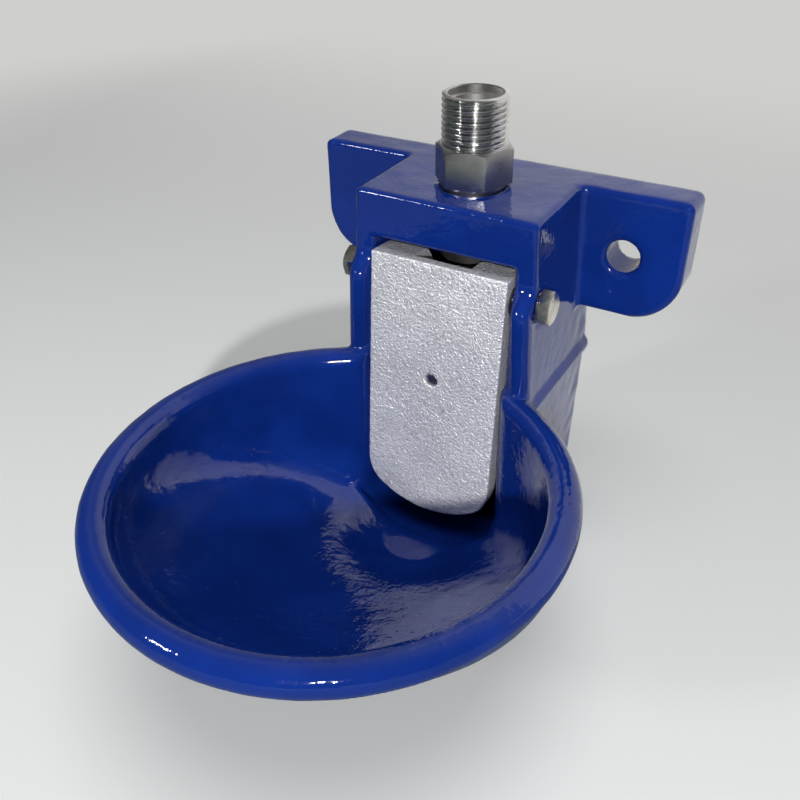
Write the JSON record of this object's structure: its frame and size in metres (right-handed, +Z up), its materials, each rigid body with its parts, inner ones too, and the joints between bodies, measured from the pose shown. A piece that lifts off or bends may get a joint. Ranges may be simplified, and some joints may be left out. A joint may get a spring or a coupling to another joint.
{
  "type": "drinking bowl",
  "caption": "Wall-mounted cast iron drinking bowl: round dish with a rolled rim, a hanging push tongue and a spring-closed plunger valve with a threaded inlet.",
  "frame": {"origin": "on the surface the bowl stands on, under the middle of its bounding box", "axes": "+X to the right as the animal faces the bowl, +Y towards the wall it is screwed to, +Z up along the inlet pipe"},
  "size_m": [0.144, 0.1876, 0.1572],
  "materials": {
    "enamel": "deep blue glossy enamel over cast iron",
    "cast_tongue": "light grey rough sand-cast skin",
    "stainless": "bright turned stainless steel",
    "zinc": "slightly yellow zinc plate",
    "brass": "turned brass",
    "rubber": "black rubber",
    "plastic": "black acetal plastic"
  },
  "bodies": {
    "root": {"bowl_casting": "enamel", "pivot_bolt_left": "zinc", "pivot_bolt_right": "zinc", "valve_body": "stainless", "valve_seat": "brass", "seat_o_ring": "rubber", "stem_guide": "brass", "valve_spring": "stainless", "spring_cap": "plastic", "inlet_strainer": "stainless", "strainer_circlip": "stainless"},
    "tongue": {"tongue": "cast_tongue", "tongue_plug": "stainless", "heel_screw": "stainless", "heel_nut": "stainless", "tongue_bush_left": "plastic", "tongue_bush_right": "plastic"},
    "plunger": {"valve_plunger": "stainless", "plunger_seal": "rubber"}
  },
  "joints": [
    {"name": "tongue_swing", "type": "hinge", "parent": "root", "child": "tongue", "pos_m": [0, 0.04825, 0.1005], "axis": [1, 0, 0], "range_deg": [0, 11], "stiffness_Nm_per_rad": 0.4, "springref_deg": -17.19},
    {"name": "stem_lift", "type": "slide", "parent": "root", "child": "plunger", "axis": [0, 0, 1], "range_m": [0, 0.0034], "deforming": ["valve_spring"]}
  ],
  "couplings": [
    {"joint": "stem_lift", "follows": "tongue_swing", "m_per_rad": 0.0175}
  ]
}
